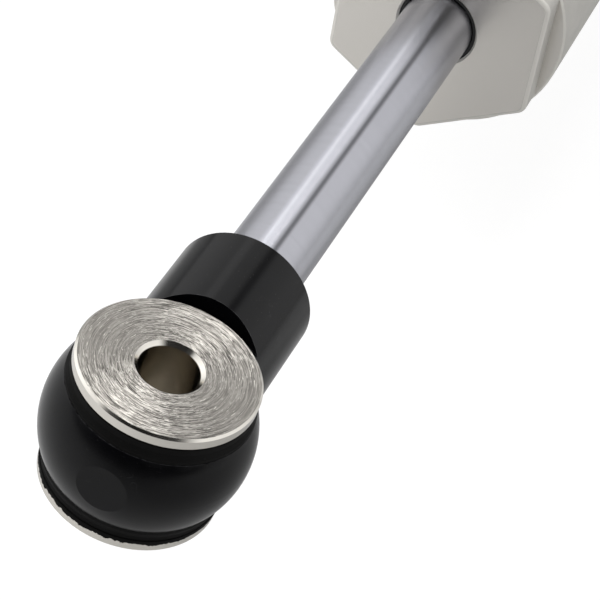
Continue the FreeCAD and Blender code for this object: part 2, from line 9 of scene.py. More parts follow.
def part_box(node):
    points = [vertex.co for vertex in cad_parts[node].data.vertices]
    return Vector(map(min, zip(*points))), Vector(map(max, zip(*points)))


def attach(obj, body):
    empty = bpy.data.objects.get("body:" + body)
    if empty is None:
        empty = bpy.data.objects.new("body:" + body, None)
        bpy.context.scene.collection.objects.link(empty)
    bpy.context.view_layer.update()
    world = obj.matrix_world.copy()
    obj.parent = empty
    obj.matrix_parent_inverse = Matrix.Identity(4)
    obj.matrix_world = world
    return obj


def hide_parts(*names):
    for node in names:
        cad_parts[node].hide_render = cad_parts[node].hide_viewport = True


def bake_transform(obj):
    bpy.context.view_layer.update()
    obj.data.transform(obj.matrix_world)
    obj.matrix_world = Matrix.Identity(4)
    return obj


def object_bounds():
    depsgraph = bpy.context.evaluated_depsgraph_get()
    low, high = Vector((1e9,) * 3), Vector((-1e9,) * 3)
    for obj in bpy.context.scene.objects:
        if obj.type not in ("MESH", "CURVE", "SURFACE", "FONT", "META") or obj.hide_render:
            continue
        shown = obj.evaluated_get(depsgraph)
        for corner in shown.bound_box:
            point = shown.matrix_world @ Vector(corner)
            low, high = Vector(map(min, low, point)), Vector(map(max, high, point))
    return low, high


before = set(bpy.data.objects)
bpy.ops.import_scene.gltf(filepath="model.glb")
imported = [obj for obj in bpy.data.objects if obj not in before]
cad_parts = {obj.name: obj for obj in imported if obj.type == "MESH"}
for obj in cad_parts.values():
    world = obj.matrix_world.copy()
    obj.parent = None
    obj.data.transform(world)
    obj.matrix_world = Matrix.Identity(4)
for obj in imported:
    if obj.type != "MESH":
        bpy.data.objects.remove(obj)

bl_info = {
    "name": "Shock Absorber Finishes",
    "version": (1, 0, 0),
    "blender": (4, 5, 0),
    "location": "3D View > Sidebar > Shock",
    "description": "Finishes, rubber parts and a plain studio for a shock absorber",
    "category": "Object",
}

CAD_BOX = [list(corner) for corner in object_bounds()]

MM = 0.001
MICRON = 0.000001
FULL_TURN = 2 * math.pi
SHARP_EDGE = math.radians(38)
SMALL_RING_STEPS = 64
ACROSS, ALONG, UP = 0, 1, 2

# The two eyes turn about the upright lines through these points.
BODY_EYE = Vector((0.0, 0.0, 0.0))
ROD_EYE = (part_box("rod_eye_spacer_upper")[0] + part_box("rod_eye_spacer_upper")[1]) / 2
ROD_EYE.z = 0.0

# Sizes of the eyes that no single node's box gives
EYE_HALF_WIDTH = 9.7 * MM
SLEEVE_CROWN_RADIUS = 14.4 * MM
BOLT_HOLE_RADIUS = 6.1 * MM

# The camera, placed by fitting its view to the rod, the eye and the hexagon.
CAMERA_LENS = 138.93
CAMERA_SENSOR = 36.0
CAMERA_PLACE = Vector((0.058712, -0.797019, 0.313408))
CAMERA_RIGHT = Vector((0.8784240, 0.3763099, 0.2945542))
CAMERA_DOWN = Vector((0.4671075, -0.5459740, -0.6955019))
CAMERA_FORWARD = Vector((-0.1009053, 0.7485340, -0.6553739))


# Settings that a user would change


def colour_setting(name, description, default):
    return FloatVectorProperty(
        name=name, description=description, default=default,
        subtype="COLOR", size=3, min=0.0, max=1.0,
    )


def length_setting(name, description, default):
    return FloatProperty(
        name=name, description=description, default=default,
        subtype="DISTANCE", unit="LENGTH", min=0.0, precision=5,
    )


def power_setting(name, description, default):
    return FloatProperty(
        name=name, description=description, default=default,
        subtype="POWER", unit="POWER", min=0.0,
    )


def share_setting(name, description, default):
    return FloatProperty(
        name=name, description=description, default=default,
        subtype="FACTOR", min=0.0, max=1.0,
    )


class FinishColours(bpy.types.PropertyGroup):
    """Colours of the finishes, without light or shade."""

    black_anodised: colour_setting(
        "Black anodised", "Both eyes and the end cap", (0.0013, 0.0013, 0.0017))
    clear_anodised: colour_setting(
        "Clear anodised", "Body tube with its hexagon", (0.56, 0.545, 0.51))
    machined_face: colour_setting(
        "Machined face", "Front face of the hexagon", (0.80, 0.772, 0.725))
    hard_chrome: colour_setting(
        "Hard chrome", "Piston rod", (0.50, 0.503, 0.545))
    nickel: colour_setting(
        "Nickel plate", "Rims of the flanged spacers", (0.80, 0.77, 0.71))
    nickel_face: colour_setting(
        "Turned face", "Raised lines on the spacers' turned faces", (0.60, 0.57, 0.525))
    # Painted shade: the grooves' darkness is painted into the plating's colour.
    nickel_shade: colour_setting(
        "Turned grooves", "Grooves on the spacers' turned faces", (0.035, 0.032, 0.028))
    # Painted shade: the inside of the bolt holes is darker and browner than the plating.
    nickel_bore: colour_setting(
        "Bore", "Inside of the spacers' bolt holes", (0.43, 0.395, 0.335))
    bush_rubber: colour_setting(
        "Bush rubber", "Rubber in both eyes and the bumper", (0.0012, 0.0011, 0.001))
    seal_rubber: colour_setting(
        "Seal rubber", "Wiper, lip seal and O-rings", (0.03, 0.03, 0.03))
    bare_aluminium: colour_setting(
        "Bare aluminium", "Rod guide, piston and floating piston", (0.62, 0.62, 0.61))
    bronze: colour_setting(
        "Lined bronze", "Rod guide bush", (0.42, 0.27, 0.12))
    filled_plastic: colour_setting(
        "Filled plastic", "Piston bands and the seal's backing ring", (0.10, 0.06, 0.03))
    plain_steel: colour_setting(
        "Plain steel", "Washers, shims and retaining rings", (0.42, 0.42, 0.43))
    plated_steel: colour_setting(
        "Plated steel", "Piston nut and socket screws", (0.52, 0.52, 0.50))


class SurfaceDetail(bpy.types.PropertyGroup):
    """Scale and strength of the fine surface marks."""

    blast_grain: length_setting(
        "Blasted grain", "Size of the pits in the blasted body", 0.22 * MM)
    satin_grain: length_setting(
        "Satin grain", "Size of the grain in the black finish", 0.12 * MM)
    face_mark_spacing: length_setting(
        "Face mark spacing", "Spacing of the turning marks on the spacers", 0.17 * MM)
    face_mark_depth: length_setting(
        "Face mark depth", "Depth of the turning marks on the spacers", 50 * MICRON)
    rubber_grain: length_setting(
        "Rubber grain", "Size of the moulded rubber's texture", 0.35 * MM)
    edge_width: length_setting(
        "Edge width", "Width of the rubbing along edges", 0.3 * MM)
    # Strength of the lighter edges: partly wear, partly a painted highlight along the
    # edges.
    edge_wear_and_highlight: share_setting(
        "Edge wear and highlight", "How much the edges are rubbed lighter", 0.7)


class RubberShape(bpy.types.PropertyGroup):
    """Shape of the moulded rubber flanges between each eye and its spacers."""

    foot_reach: length_setting(
        "Foot reach", "How much wider the flange is at the eye's face", 0.7 * MM)
    flash_reach: length_setting(
        "Flash reach", "How far the thin flash laps over the lower rim", 0.8 * MM)
    flash_rag: length_setting(
        "Flash rag", "How uneven the flash's edge is", 0.55 * MM)
    flash_thickness: length_setting(
        "Flash thickness", "Thickness of the flash", 0.12 * MM)
    rounding: length_setting(
        "Rounding", "Radius on the rubber parts' corners", 0.5 * MM)
    tilt_room: length_setting(
        "Tilt room", "Room that the bush has to tilt in its eye", 0.7 * MM)
    steps_round: IntProperty(
        name="Steps round", description="Divisions round each rubber part",
        default=192, min=24)
    flash_steps: IntProperty(
        name="Flash steps", description="Divisions round the torn flash",
        default=720, min=24)


class StudioLayout(bpy.types.PropertyGroup):
    """The floor, the surroundings and the lamps."""

    floor_radius: length_setting(
        "Floor radius", "Half the width of the pale floor", 12.0)
    floor_drop: length_setting(
        "Floor drop", "How far the floor lies below the shock", 28 * MM)
    surroundings: FloatProperty(
        name="Surroundings", description="Strength of the light from all round",
        default=0.5, min=0.0)
    strip_light: power_setting(
        "Strip light", "Power of the long strip over the rod", 0.6)
    overhead_light: power_setting(
        "Overhead light", "Power of the lamp over the eye", 3.5)
    left_light: power_setting(
        "Left light", "Power of the broad lamp on the left", 8.0)
    right_light: power_setting(
        "Right light", "Power of the broad lamp on the right", 1.2)
    gap_turn: FloatProperty(
        name="Gap turn", description="Turn of the dark gap between the light banks",
        default=math.radians(10.5), subtype="ANGLE", unit="ROTATION")


class ShockLooks(bpy.types.PropertyGroup):
    """Everything about the shock's looks that can be changed."""

    colours: PointerProperty(type=FinishColours)
    detail: PointerProperty(type=SurfaceDetail)
    rubber: PointerProperty(type=RubberShape)
    studio: PointerProperty(type=StudioLayout)


# Short calls for shader nodes


class NodeGraph:
    """Adds and links the nodes of one material, group or world."""

    def __init__(self, tree):
        self.tree = tree

    def add(self, kind, **settings):
        node = self.tree.nodes.new(kind)
        for name, value in settings.items():
            setattr(node, name, value)
        return node

    def feed(self, socket, source):
        """Link another node's output to a socket, or set a plain value on it."""
        if isinstance(source, bpy.types.NodeSocket):
            self.tree.links.new(source, socket)
        else:
            socket.default_value = source

    def math(self, operation, first, second=0.0):
        node = self.add("ShaderNodeMath", operation=operation)
        self.feed(node.inputs[0], first)
        self.feed(node.inputs[1], second)
        return node.outputs[0]

    def product(self, first, *others):
        """Multiply values or masks."""
        for other in others:
            first = self.math("MULTIPLY", first, other)
        return first

    def inverse(self, mask):
        """One less the mask, which turns it round."""
        return self.math("SUBTRACT", 1.0, mask)

    def absolute(self, value):
        return self.math("ABSOLUTE", value)

    def vector(self, operation, first, second=(0.0, 0.0, 0.0)):
        node = self.add("ShaderNodeVectorMath", operation=operation)
        self.feed(node.inputs[0], first)
        self.feed(node.inputs[1], second)
        plain = operation in {"DOT_PRODUCT", "LENGTH"}
        return node.outputs["Value" if plain else "Vector"]

    def scaled(self, vector, factor):
        node = self.add("ShaderNodeVectorMath", operation="SCALE")
        self.feed(node.inputs[0], vector)
        self.feed(node.inputs["Scale"], factor)
        return node.outputs["Vector"]

    def parts_of(self, vector):
        node = self.add("ShaderNodeSeparateXYZ")
        self.feed(node.inputs[0], vector)
        return node.outputs

    def combined(self, x, y, z):
        node = self.add("ShaderNodeCombineXYZ")
        for socket, source in zip(node.inputs, (x, y, z)):
            self.feed(socket, source)
        return node.outputs[0]

    def noise(self, place, scale=1.0, detail=2.0, roughness=0.5):
        node = self.add("ShaderNodeTexNoise")
        self.feed(node.inputs["Vector"], place)
        self.feed(node.inputs["Scale"], scale)
        self.feed(node.inputs["Detail"], detail)
        self.feed(node.inputs["Roughness"], roughness)
        return node.outputs[0]

    def remap(self, value, low, high, new_low=0.0, new_high=1.0, smooth=False):
        kind = "SMOOTHSTEP" if smooth else "LINEAR"
        node = self.add("ShaderNodeMapRange", interpolation_type=kind, clamp=True)
        for socket, source in zip(node.inputs, (value, low, high, new_low, new_high)):
            self.feed(socket, source)
        return node.outputs[0]

    def between(self, mask, bare, covered):
        """A value that goes from bare to covered as the mask rises from 0 to 1."""
        return self.remap(mask, 0.0, 1.0, bare, covered)

    def mixed(self, factor, first, second):
        """Mix two colours."""
        node = self.add("ShaderNodeMix", data_type="RGBA")
        self.feed(node.inputs[0], factor)
        self.feed(node.inputs[6], first)
        self.feed(node.inputs[7], second)
        return node.outputs[2]

    def group(self, tree, **given):
        """Place a node group, feed its inputs by name and give its outputs."""
        node = self.add("ShaderNodeGroup", node_tree=tree)
        for name, source in given.items():
            self.feed(node.inputs[name], source)
        return node.outputs

    def bump(self, height, distance, normal=None):
        node = self.add("ShaderNodeBump")
        node.inputs["Strength"].default_value = 1.0
        self.feed(node.inputs["Distance"], distance)
        self.feed(node.inputs["Height"], height)
        if normal is not None:
            self.feed(node.inputs["Normal"], normal)
        return node.outputs[0]


def opaque(colour):
    return (*colour, 1.0)


# Effects that several finishes share


def start_group(name, outputs, **inputs):
    """Begin a node group that takes Place and some values, and gives values or masks."""
    tree = bpy.data.node_groups.new(name, "ShaderNodeTree")
    tree.interface.new_socket(
        name="Place", in_out="INPUT", socket_type="NodeSocketVector")
    for label, default in inputs.items():
        socket = tree.interface.new_socket(
            name=label, in_out="INPUT", socket_type="NodeSocketFloat")
        socket.default_value = default
    for label in outputs:
        tree.interface.new_socket(
            name=label, in_out="OUTPUT", socket_type="NodeSocketFloat")
    graph = NodeGraph(tree)
    given = graph.add("NodeGroupInput").outputs
    result = graph.add("NodeGroupOutput").inputs
    return graph, given, result


def built_once(build):
    """Build a node group the first time that it is asked for, and then share it."""
    name = build.__name__.replace("_", " ").capitalize()

    def find():
        return bpy.data.node_groups.get(name) or build(name)

    return find


@built_once
def turning_marks(name):
    """Broken concentric marks from a lathe, about the Z line through Place's zero."""
    graph, given, result = start_group(
        name, ("Height", "Tone", "Hair"), Spacing=0.4 * MM, Break=3.0)
    x, y, z = graph.parts_of(given["Place"])
    radius = graph.math("MAXIMUM", graph.vector("LENGTH", graph.combined(x, y, 0.0)), 1e-5)
    travel = graph.math("DIVIDE", graph.math("ADD", radius, z), given["Spacing"])
    turn_x = graph.product(graph.math("DIVIDE", x, radius), given["Break"])
    turn_y = graph.product(graph.math("DIVIDE", y, radius), given["Break"])
    lines = graph.noise(graph.combined(travel, turn_x, turn_y), 1.0, 3.0, 0.62)
    graph.feed(result["Height"], lines)
    graph.feed(result["Tone"], graph.remap(lines, 0.34, 0.66))
    contour = graph.absolute(graph.math("SUBTRACT", lines, 0.5))
    graph.feed(result["Hair"], graph.remap(contour, 0.0, 0.045, 1.0, 0.0))
    return graph.tree


@built_once
def fine_grain(name):
    """Small even pits, as left by blasting or moulding."""
    graph, given, result = start_group(name, ("Height", "Tone"), Size=0.2 * MM)
    place = graph.scaled(given["Place"], graph.math("DIVIDE", 1.0, given["Size"]))
    grain = graph.noise(place, 1.0, 2.0, 0.6)
    patches = graph.noise(place, 0.035, 3.0, 0.55)
    graph.feed(result["Height"], grain)
    graph.feed(result["Tone"], graph.remap(patches, 0.3, 0.7))
    return graph.tree


@built_once
def edge_wear_and_highlight(name):
    """Mask of edges, broken up unevenly, where handling rubs a finish and where finishes
    paint a highlight along the edge.
    """
    graph, given, result = start_group(name, ("Mask",), Width=0.4 * MM)
    softened = graph.add("ShaderNodeBevel", samples=6)
    graph.feed(softened.inputs["Radius"], given["Width"])
    true_normal = graph.add("ShaderNodeNewGeometry").outputs["Normal"]
    match = graph.vector("DOT_PRODUCT", softened.outputs[0], true_normal)
    bend = graph.remap(graph.inverse(match), 0.01, 0.16)
    breaks = graph.remap(graph.noise(given["Place"], 900.0, 3.0, 0.6), 0.36, 0.62)
    graph.feed(result["Mask"], graph.product(bend, breaks))
    return graph.tree


@built_once
def handling(name):
    """Faint smudges and sparse hair scratches that run along the shock."""
    graph, given, result = start_group(name, ("Smudge", "Scratch"))
    smudge = graph.noise(given["Place"], 85.0, 4.0, 0.6)
    graph.feed(result["Smudge"], graph.remap(smudge, 0.35, 0.7))
    stretched = graph.vector("MULTIPLY", given["Place"], (260.0, 60.0, 240.0))
    contour = graph.absolute(graph.math("SUBTRACT", graph.noise(stretched, 1.0, 1.0), 0.5))
    thin = graph.remap(contour, 0.0, 0.006, 1.0, 0.0)
    sparse = graph.remap(graph.noise(given["Place"], 140.0, 2.0), 0.58, 0.66)
    graph.feed(result["Scratch"], graph.product(thin, sparse))
    return graph.tree


@built_once
def dust(name):
    """Specks of dust, thickest on surfaces that face up."""
    graph, given, result = start_group(name, ("Mask",), Cover=0.3)
    specks = graph.remap(graph.noise(given["Place"], 2600.0, 1.0), 0.72, 0.8)
    facing = graph.parts_of(graph.add("ShaderNodeNewGeometry").outputs["Normal"])[UP]
    lying = graph.remap(facing, -0.2, 0.9)
    graph.feed(result["Mask"], graph.product(specks, lying, given["Cover"]))
    return graph.tree


# Finishes


def empty_material(name):
    """A new material without nodes, and the graph that will hold them."""
    material = bpy.data.materials.new(name)
    material.use_nodes = True
    material.node_tree.nodes.clear()
    return material, NodeGraph(material.node_tree)


def start_finish(name, metallic=0.0, ior=1.45):
    """Begin a material; give it with its graph, its shader's inputs and the place on it."""
    material, graph = empty_material(name)
    shader = graph.add("ShaderNodeBsdfPrincipled")
    shader.inputs["Metallic"].default_value = metallic
    shader.inputs["IOR"].default_value = ior
    output = graph.add("ShaderNodeOutputMaterial")
    graph.feed(output.inputs["Surface"], shader.outputs[0])
    place = graph.add("ShaderNodeTexCoord").outputs["Object"]
    return material, graph, shader.inputs, place


def surface_normal(graph):
    """Parts of the true normal in the shock's own frame, across, along and up."""
    return graph.parts_of(graph.add("ShaderNodeTexCoord").outputs["Normal"])


def scaled_colour(colour, factor):
    """A colour made lighter or darker, as a shader socket takes it."""
    return opaque([min(1.0, factor * part) for part in colour])


def about_eye(graph, place, centre):
    """Place measured from the upright line through an eye's centre."""
    return graph.vector("SUBTRACT", place, tuple(centre))


def about_length(graph, place):
    """Place turned so that the shock's length lies along Z."""
    x, y, z = graph.parts_of(place)
    return graph.combined(x, z, y)


def from_line(graph, local):
    """Distance of a place from the upright line through its zero, never quite nothing."""
    x, y, _ = graph.parts_of(local)
    return graph.math("MAXIMUM", graph.vector("LENGTH", graph.combined(x, y, 0.0)), MM)


def black_anodised_finish(looks):
    """Satin black anodised aluminium, turned about the shock's length."""
    colours, detail = looks.colours, looks.detail
    material, graph, shader, place = start_finish("satin_black_anodised", ior=1.29)
    marks = graph.group(
        turning_marks(), Place=about_length(graph, place), Spacing=0.16 * MM, Break=2.0)
    grain = graph.group(fine_grain(), Place=place, Size=detail.satin_grain)
    worn_lit_edge = graph.group(edge_wear_and_highlight(), Place=place, Width=detail.edge_width)
    wear = graph.group(handling(), Place=place)
    specks = graph.group(dust(), Place=place, Cover=0.2)
    faded = (0.0022, 0.0022, 0.0028, 1.0)
    # Edges lighter: partly worn to bare metal, partly a painted highlight along the edges.
    worn_and_highlight_grey = (0.08, 0.08, 0.083, 1.0)
    scratched_grey = (0.045, 0.045, 0.047, 1.0)
    dust_grey = (0.16, 0.155, 0.15, 1.0)
    base = graph.mixed(grain["Tone"], opaque(colours.black_anodised), faded)
    rubbed = graph.mixed(graph.product(worn_lit_edge["Mask"], detail.edge_wear_and_highlight), base, worn_and_highlight_grey)
    scratched = graph.mixed(graph.product(wear["Scratch"], 0.25), rubbed, scratched_grey)
    graph.feed(shader["Base Color"], graph.mixed(specks["Mask"], scratched, dust_grey))
    graph.feed(shader["Roughness"], graph.between(wear["Smudge"], 0.13, 0.19))
    lined = graph.bump(marks["Height"], 1.2 * MICRON)
    graph.feed(shader["Normal"], graph.bump(grain["Height"], 2 * MICRON, lined))
    return material


def clear_anodised_finish(looks):
    """Blasted and clear anodised aluminium, with a painted highlight on the chamfers and
    lighter edges that are partly wear and partly a painted highlight.
    """
    colours, detail = looks.colours, looks.detail
    material, graph, shader, place = start_finish("blasted_clear_anodised", metallic=0.35)
    grain = graph.group(fine_grain(), Place=place, Size=detail.blast_grain)
    marks = graph.group(
        turning_marks(), Place=about_length(graph, place), Spacing=0.6 * MM, Break=1.0)
    worn_lit_edge = graph.group(edge_wear_and_highlight(), Place=place, Width=0.9 * MM)
    wear = graph.group(handling(), Place=place)
    specks = graph.group(dust(), Place=place, Cover=0.3)
    tilt = graph.absolute(surface_normal(graph)[ALONG])
    rising = graph.remap(tilt, 0.12, 0.35, smooth=True)
    falling = graph.remap(tilt, 0.93, 0.995, 1.0, 0.0, smooth=True)
    chamfer = graph.product(rising, falling)
    faced = graph.remap(tilt, 0.97, 0.995)
    plain = opaque(colours.clear_anodised)
    darker = scaled_colour(colours.clear_anodised, 0.93)
    lighter = scaled_colour(colours.clear_anodised, 1.3)
    dust_grey = (0.22, 0.21, 0.2, 1.0)
    base = graph.mixed(grain["Tone"], plain, darker)
    # Painted highlight: the chamfers are mixed towards the lighter colour.
    chamfer_highlighted = graph.mixed(graph.product(chamfer, 0.8), base, lighter)
    turned = graph.mixed(faced, chamfer_highlighted, opaque(colours.machined_face))
    # Edges lighter: partly wear, partly a painted highlight.
    rubbed = graph.mixed(worn_lit_edge["Mask"], turned, lighter)
    scratch = graph.product(wear["Scratch"], graph.remap(faced, 0.0, 0.5, 0.15, 0.0))
    scratched = graph.mixed(scratch, rubbed, lighter)
    dusty = graph.product(specks["Mask"], graph.remap(faced, 0.0, 0.5, 1.0, 0.0))
    graph.feed(shader["Base Color"], graph.mixed(dusty, scratched, dust_grey))
    graph.feed(shader["Metallic"], graph.between(faced, 0.35, 0.95))
    uneven = graph.product(graph.between(faced, 0.08, 0.0), wear["Smudge"])
    rough = graph.math("ADD", 0.46, uneven)
    smoother = graph.math("ADD", graph.product(chamfer, 0.12), graph.product(faced, 0.16))
    graph.feed(shader["Roughness"], graph.math("SUBTRACT", rough, smoother))
    line_depth = graph.between(faced, 3 * MICRON, 0.5 * MICRON)
    pit_depth = graph.between(faced, 12 * MICRON, MICRON)
    lined = graph.bump(marks["Height"], line_depth)
    graph.feed(shader["Normal"], graph.bump(grain["Height"], pit_depth, lined))
    return material


def chrome_finish(looks):
    """Ground hard chrome: fine lines round the rod and hardly any wear."""
    colour = looks.colours.hard_chrome
    material, graph, shader, place = start_finish("ground_hard_chrome", metallic=1.0)
    shader["Anisotropic"].default_value = 1.0
    shader["Anisotropic Rotation"].default_value = 0.25
    graph.feed(
        shader["Tangent"],
        graph.add("ShaderNodeTangent", direction_type="RADIAL", axis="Y").outputs[0])
    local = about_length(graph, place)
    round_lines = graph.group(turning_marks(), Place=local, Spacing=0.09 * MM, Break=1.2)
    broad_lines = graph.group(turning_marks(), Place=local, Spacing=1.3 * MM, Break=0.4)
    wear = graph.group(handling(), Place=place)
    duller = scaled_colour(colour, 0.9)
    toned = graph.mixed(graph.product(broad_lines["Tone"], 0.35), opaque(colour), duller)
    graph.feed(
        shader["Base Color"],
        graph.mixed(graph.product(wear["Scratch"], 0.06), toned, duller))
    graph.feed(shader["Roughness"], graph.between(wear["Smudge"], 0.2, 0.215))
    graph.feed(shader["Normal"], graph.bump(round_lines["Height"], 1.2 * MICRON))
    return material


def turned_face_colour(graph, colours, local, fine, marks):
    """Colour of a spacer's turned face, painted with shade in its grooves and glints on its
    ridges, strongest at its front and rear where a turned face catches the light.
    """
    glint_flecks = graph.group(turning_marks(), Place=local, Spacing=0.2 * MM, Break=7.0)
    cuts = graph.group(turning_marks(), Place=local, Spacing=0.5 * MM, Break=2.2)
    # Painted glint sectors: the marks' painted shade and glints show most at the face's
    # front and rear.
    along = graph.parts_of(local)[ALONG]
    glint_sectors = graph.remap(
        graph.absolute(graph.math("DIVIDE", along, from_line(graph, local))), 0.3, 0.85)
    nickel, shade = opaque(colours.nickel), opaque(colours.nickel_shade)
    tone = graph.math(
        "ADD",
        graph.product(graph.remap(marks["Height"], 0.44, 0.56), 0.6),
        graph.product(graph.remap(fine["Height"], 0.44, 0.56), 0.4))
    contrast = graph.product(
        graph.math("SUBTRACT", tone, 0.5), graph.between(glint_sectors, 0.4, 1.0))
    # The lines run from painted groove shade to the raised lines' colour.
    lines = graph.mixed(
        graph.math("ADD", 0.5, contrast), shade, opaque(colours.nickel_face))
    # Painted shade in thin dark cuts.
    hair = graph.product(cuts["Hair"], graph.between(glint_sectors, 0.2, 0.7))
    cut_shaded = graph.mixed(hair, lines, shade)
    # Painted glints: thin bright arcs along the ridges.
    crest = graph.absolute(graph.math("SUBTRACT", cuts["Height"], 0.575))
    ridge_glint = graph.product(
        graph.remap(crest, 0.0, 0.03, 1.0, 0.0), graph.between(glint_sectors, 0.15, 0.8))
    ridge_glinted = graph.mixed(ridge_glint, cut_shaded, nickel)
    # Painted glints: bright flecks along the marks.
    return graph.mixed(
        graph.remap(glint_flecks["Height"], 0.61, 0.67, 0.0, 0.9), ridge_glinted, nickel)


def nickel_finish(looks, name, centre):
    """Nickel-plated steel with turned faces that carry painted groove shade and glints, a
    smooth rim with lighter edges that are partly painted highlight, and a darker bore with
    painted shade.
    """
    colours, detail = looks.colours, looks.detail
    material, graph, shader, place = start_finish(name, metallic=1.0)
    shader["Anisotropic"].default_value = 0.82
    shader["Anisotropic Rotation"].default_value = 0.25
    local = about_eye(graph, place, centre)
    marks = graph.group(
        turning_marks(), Place=local, Spacing=detail.face_mark_spacing, Break=2.4)
    fine = graph.group(turning_marks(), Place=local, Spacing=0.09 * MM, Break=5.0)
    wear = graph.group(handling(), Place=place)
    worn_lit_edge = graph.group(edge_wear_and_highlight(), Place=place, Width=detail.edge_width)
    on_face = graph.remap(graph.absolute(surface_normal(graph)[UP]), 0.85, 0.97)
    in_bore = graph.remap(
        from_line(graph, local), BOLT_HOLE_RADIUS + 0.02 * MM, BOLT_HOLE_RADIUS + 0.1 * MM,
        1.0, 0.0)
    faced = turned_face_colour(graph, colours, local, fine, marks)
    turned = graph.mixed(on_face, opaque(colours.nickel), faced)
    # Painted shade inside the bolt hole.
    bore_shaded = graph.mixed(in_bore, turned, opaque(colours.nickel_bore))
    # Edges lighter: partly wear, partly a painted highlight.
    edge_highlight_and_wear = scaled_colour(colours.nickel, 1.12)
    graph.feed(
        shader["Base Color"], graph.mixed(graph.product(worn_lit_edge["Mask"], 0.5), bore_shaded, edge_highlight_and_wear))
    rough_face = graph.between(wear["Smudge"], 0.3, 0.37)
    spread = graph.product(graph.math("SUBTRACT", rough_face, 0.12), on_face)
    smooth_metal = graph.between(in_bore, 0.12, 0.15)
    graph.feed(shader["Roughness"], graph.math("ADD", smooth_metal, spread))
    groove_depth = graph.between(on_face, 0.8 * MICRON, detail.face_mark_depth)
    hair_depth = graph.between(on_face, 0.8 * MICRON, 18 * MICRON)
    coarse = graph.bump(marks["Height"], groove_depth)
    graph.feed(shader["Normal"], graph.bump(fine["Height"], hair_depth, coarse))
    return material


def rubber_finish(looks, name, colour, roughness, grain_depth):
    """Moulded rubber with a fine texture and a little bloom."""
    material, graph, shader, place = start_finish(name, ior=1.24)
    grain = graph.group(fine_grain(), Place=place, Size=looks.detail.rubber_grain)
    wear = graph.group(handling(), Place=place)
    specks = graph.group(dust(), Place=place, Cover=0.2)
    bloom = opaque([1.5 * part + 0.001 for part in colour])
    dust_grey = (0.12, 0.115, 0.11, 1.0)
    base = graph.mixed(graph.product(wear["Smudge"], 0.6), opaque(colour), bloom)
    graph.feed(shader["Base Color"], graph.mixed(specks["Mask"], base, dust_grey))
    graph.feed(
        shader["Roughness"],
        graph.between(grain["Tone"], roughness - 0.06, roughness + 0.06))
    graph.feed(shader["Normal"], graph.bump(grain["Height"], grain_depth))
    return material


def machined_finish(looks, name, colour, roughness, spacing, metallic=1.0):
    """A turned inner part: fine marks about the shock's length and a little handling."""
    detail = looks.detail
    material, graph, shader, place = start_finish(name, metallic)
    marks = graph.group(
        turning_marks(), Place=about_length(graph, place), Spacing=spacing, Break=1.5)
    grain = graph.group(fine_grain(), Place=place, Size=detail.satin_grain)
    wear = graph.group(handling(), Place=place)
    worn_lit_edge = graph.group(edge_wear_and_highlight(), Place=place, Width=detail.edge_width)
    duller, brighter = scaled_colour(colour, 0.8), scaled_colour(colour, 1.2)
    base = graph.mixed(graph.product(marks["Tone"], 0.5), opaque(colour), duller)
    graph.feed(
        shader["Base Color"], graph.mixed(graph.product(worn_lit_edge["Mask"], 0.6), base, brighter))
    graph.feed(
        shader["Roughness"],
        graph.between(wear["Smudge"], roughness - 0.04, roughness + 0.08))
    lined = graph.bump(marks["Height"], 6 * MICRON)
    graph.feed(shader["Normal"], graph.bump(grain["Height"], 3 * MICRON, lined))
    return material


def dress(material, *nodes):
    """Give CAD nodes their finish."""
    for name in nodes:
        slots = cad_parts[name].material_slots
        if not slots:
            raise RuntimeError(name + " has no material slot")
        for material_slot in slots:
            material_slot.material = material


# Rubber parts, spun from rounded profiles


def rounded_profile(corners, steps=5, longest=0.45):
    """Replace each (radius, height, rounding) corner of a closed profile by a small arc.

    An arc takes no more than the longest share of either side next to its corner.
    """
    points = []
    count = len(corners)
    for index, (radius, height, rounding) in enumerate(corners):
        here = Vector((radius, height))
        if rounding <= 0:
            points.append(here)
            continue
        before = Vector(corners[index - 1][:2]) - here
        after = Vector(corners[(index + 1) % count][:2]) - here
        half = before.angle(after) / 2
        shorter = min(before.length, after.length)
        reach = min(rounding / math.tan(half), longest * shorter)
        start = here + before.normalized() * reach
        end = here + after.normalized() * reach
        for step in range(steps + 1):
            share = step / steps
            first = start.lerp(here, share)
            second = here.lerp(end, share)
            points.append(first.lerp(second, share))
    return points


def torn(radius, height, angle, rag):
    """Move a point of the flash's lip up or down by an uneven amount."""
    reach = 0.0
    for waviness, level, share in ((5, 3.0, 0.9), (26, 7.0, 0.7), (80, 11.0, 0.35)):
        spot = Vector((waviness * math.cos(angle), waviness * math.sin(angle), level))
        reach += share * noise.noise(spot)
    return radius, height + math.copysign(rag, height) * max(-0.4, reach)


def spun_piece(name, points, centre, axis, steps_round, rag=0.0, rag_past=math.inf):
    """Spin a closed profile round an axis, tearing the points that lie past rag_past."""
    mesh = bmesh.new()
    rings = []
    for step in range(steps_round):
        angle = FULL_TURN * step / steps_round
        ring = []
        for radius, height in points:
            if abs(height) > rag_past:
                radius, height = torn(radius, height, angle, rag)
            out, side = radius * math.cos(angle), radius * math.sin(angle)
            place = {
                ACROSS: Vector((height, out, side)),
                ALONG: Vector((side, height, out)),
                UP: Vector((out, side, height)),
            }[axis]
            ring.append(mesh.verts.new(centre + place))
        rings.append(ring)
    count = len(points)
    for step in range(steps_round):
        ring, following = rings[step], rings[(step + 1) % steps_round]
        for index in range(count):
            after = (index + 1) % count
            mesh.faces.new((ring[index], ring[after], following[after], following[index]))
    bmesh.ops.recalc_face_normals(mesh, faces=mesh.faces)
    for face in mesh.faces:
        face.smooth = True
    data = bpy.data.meshes.new(name)
    mesh.to_mesh(data)
    mesh.free()
    data.set_sharp_from_angle(angle=SHARP_EDGE)
    piece = bpy.data.objects.new(name, data)
    bpy.context.scene.collection.objects.link(piece)
    return piece


def rubber_piece(piece, material, node):
    """Finish a rubber piece that stands in for a CAD node."""
    piece.data.materials.append(material)
    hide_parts(node)


